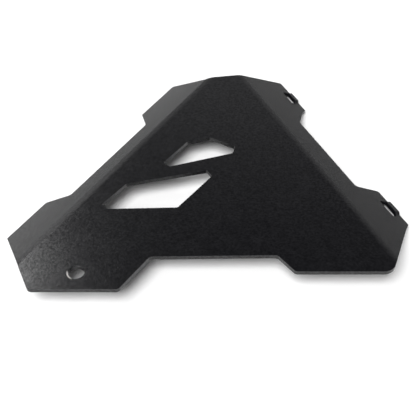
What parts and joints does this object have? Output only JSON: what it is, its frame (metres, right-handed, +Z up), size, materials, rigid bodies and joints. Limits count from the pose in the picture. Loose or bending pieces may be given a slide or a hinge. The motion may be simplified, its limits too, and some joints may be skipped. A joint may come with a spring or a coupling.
{
  "type": "motorcycle engine case guard",
  "caption": "Tapering folded sheet guard that shields a motorcycle engine case, with angular windows, a bolt hole, lobed side flanges and slotted fixings.",
  "frame": {"origin": "middle of the base, on the plane the flange lobes stand on", "axes": "+Z up and square to the flat plate; the wide front edge with the bolt hole faces -Y; +X is toward the flange with the slots"},
  "size_m": [0.241, 0.2106, 0.015],
  "materials": {
    "coated_sheet": "matt black powder coat with a fine grain"
  },
  "bodies": {
    "root": {"guard_plate": "coated_sheet"}
  },
  "joints": []
}
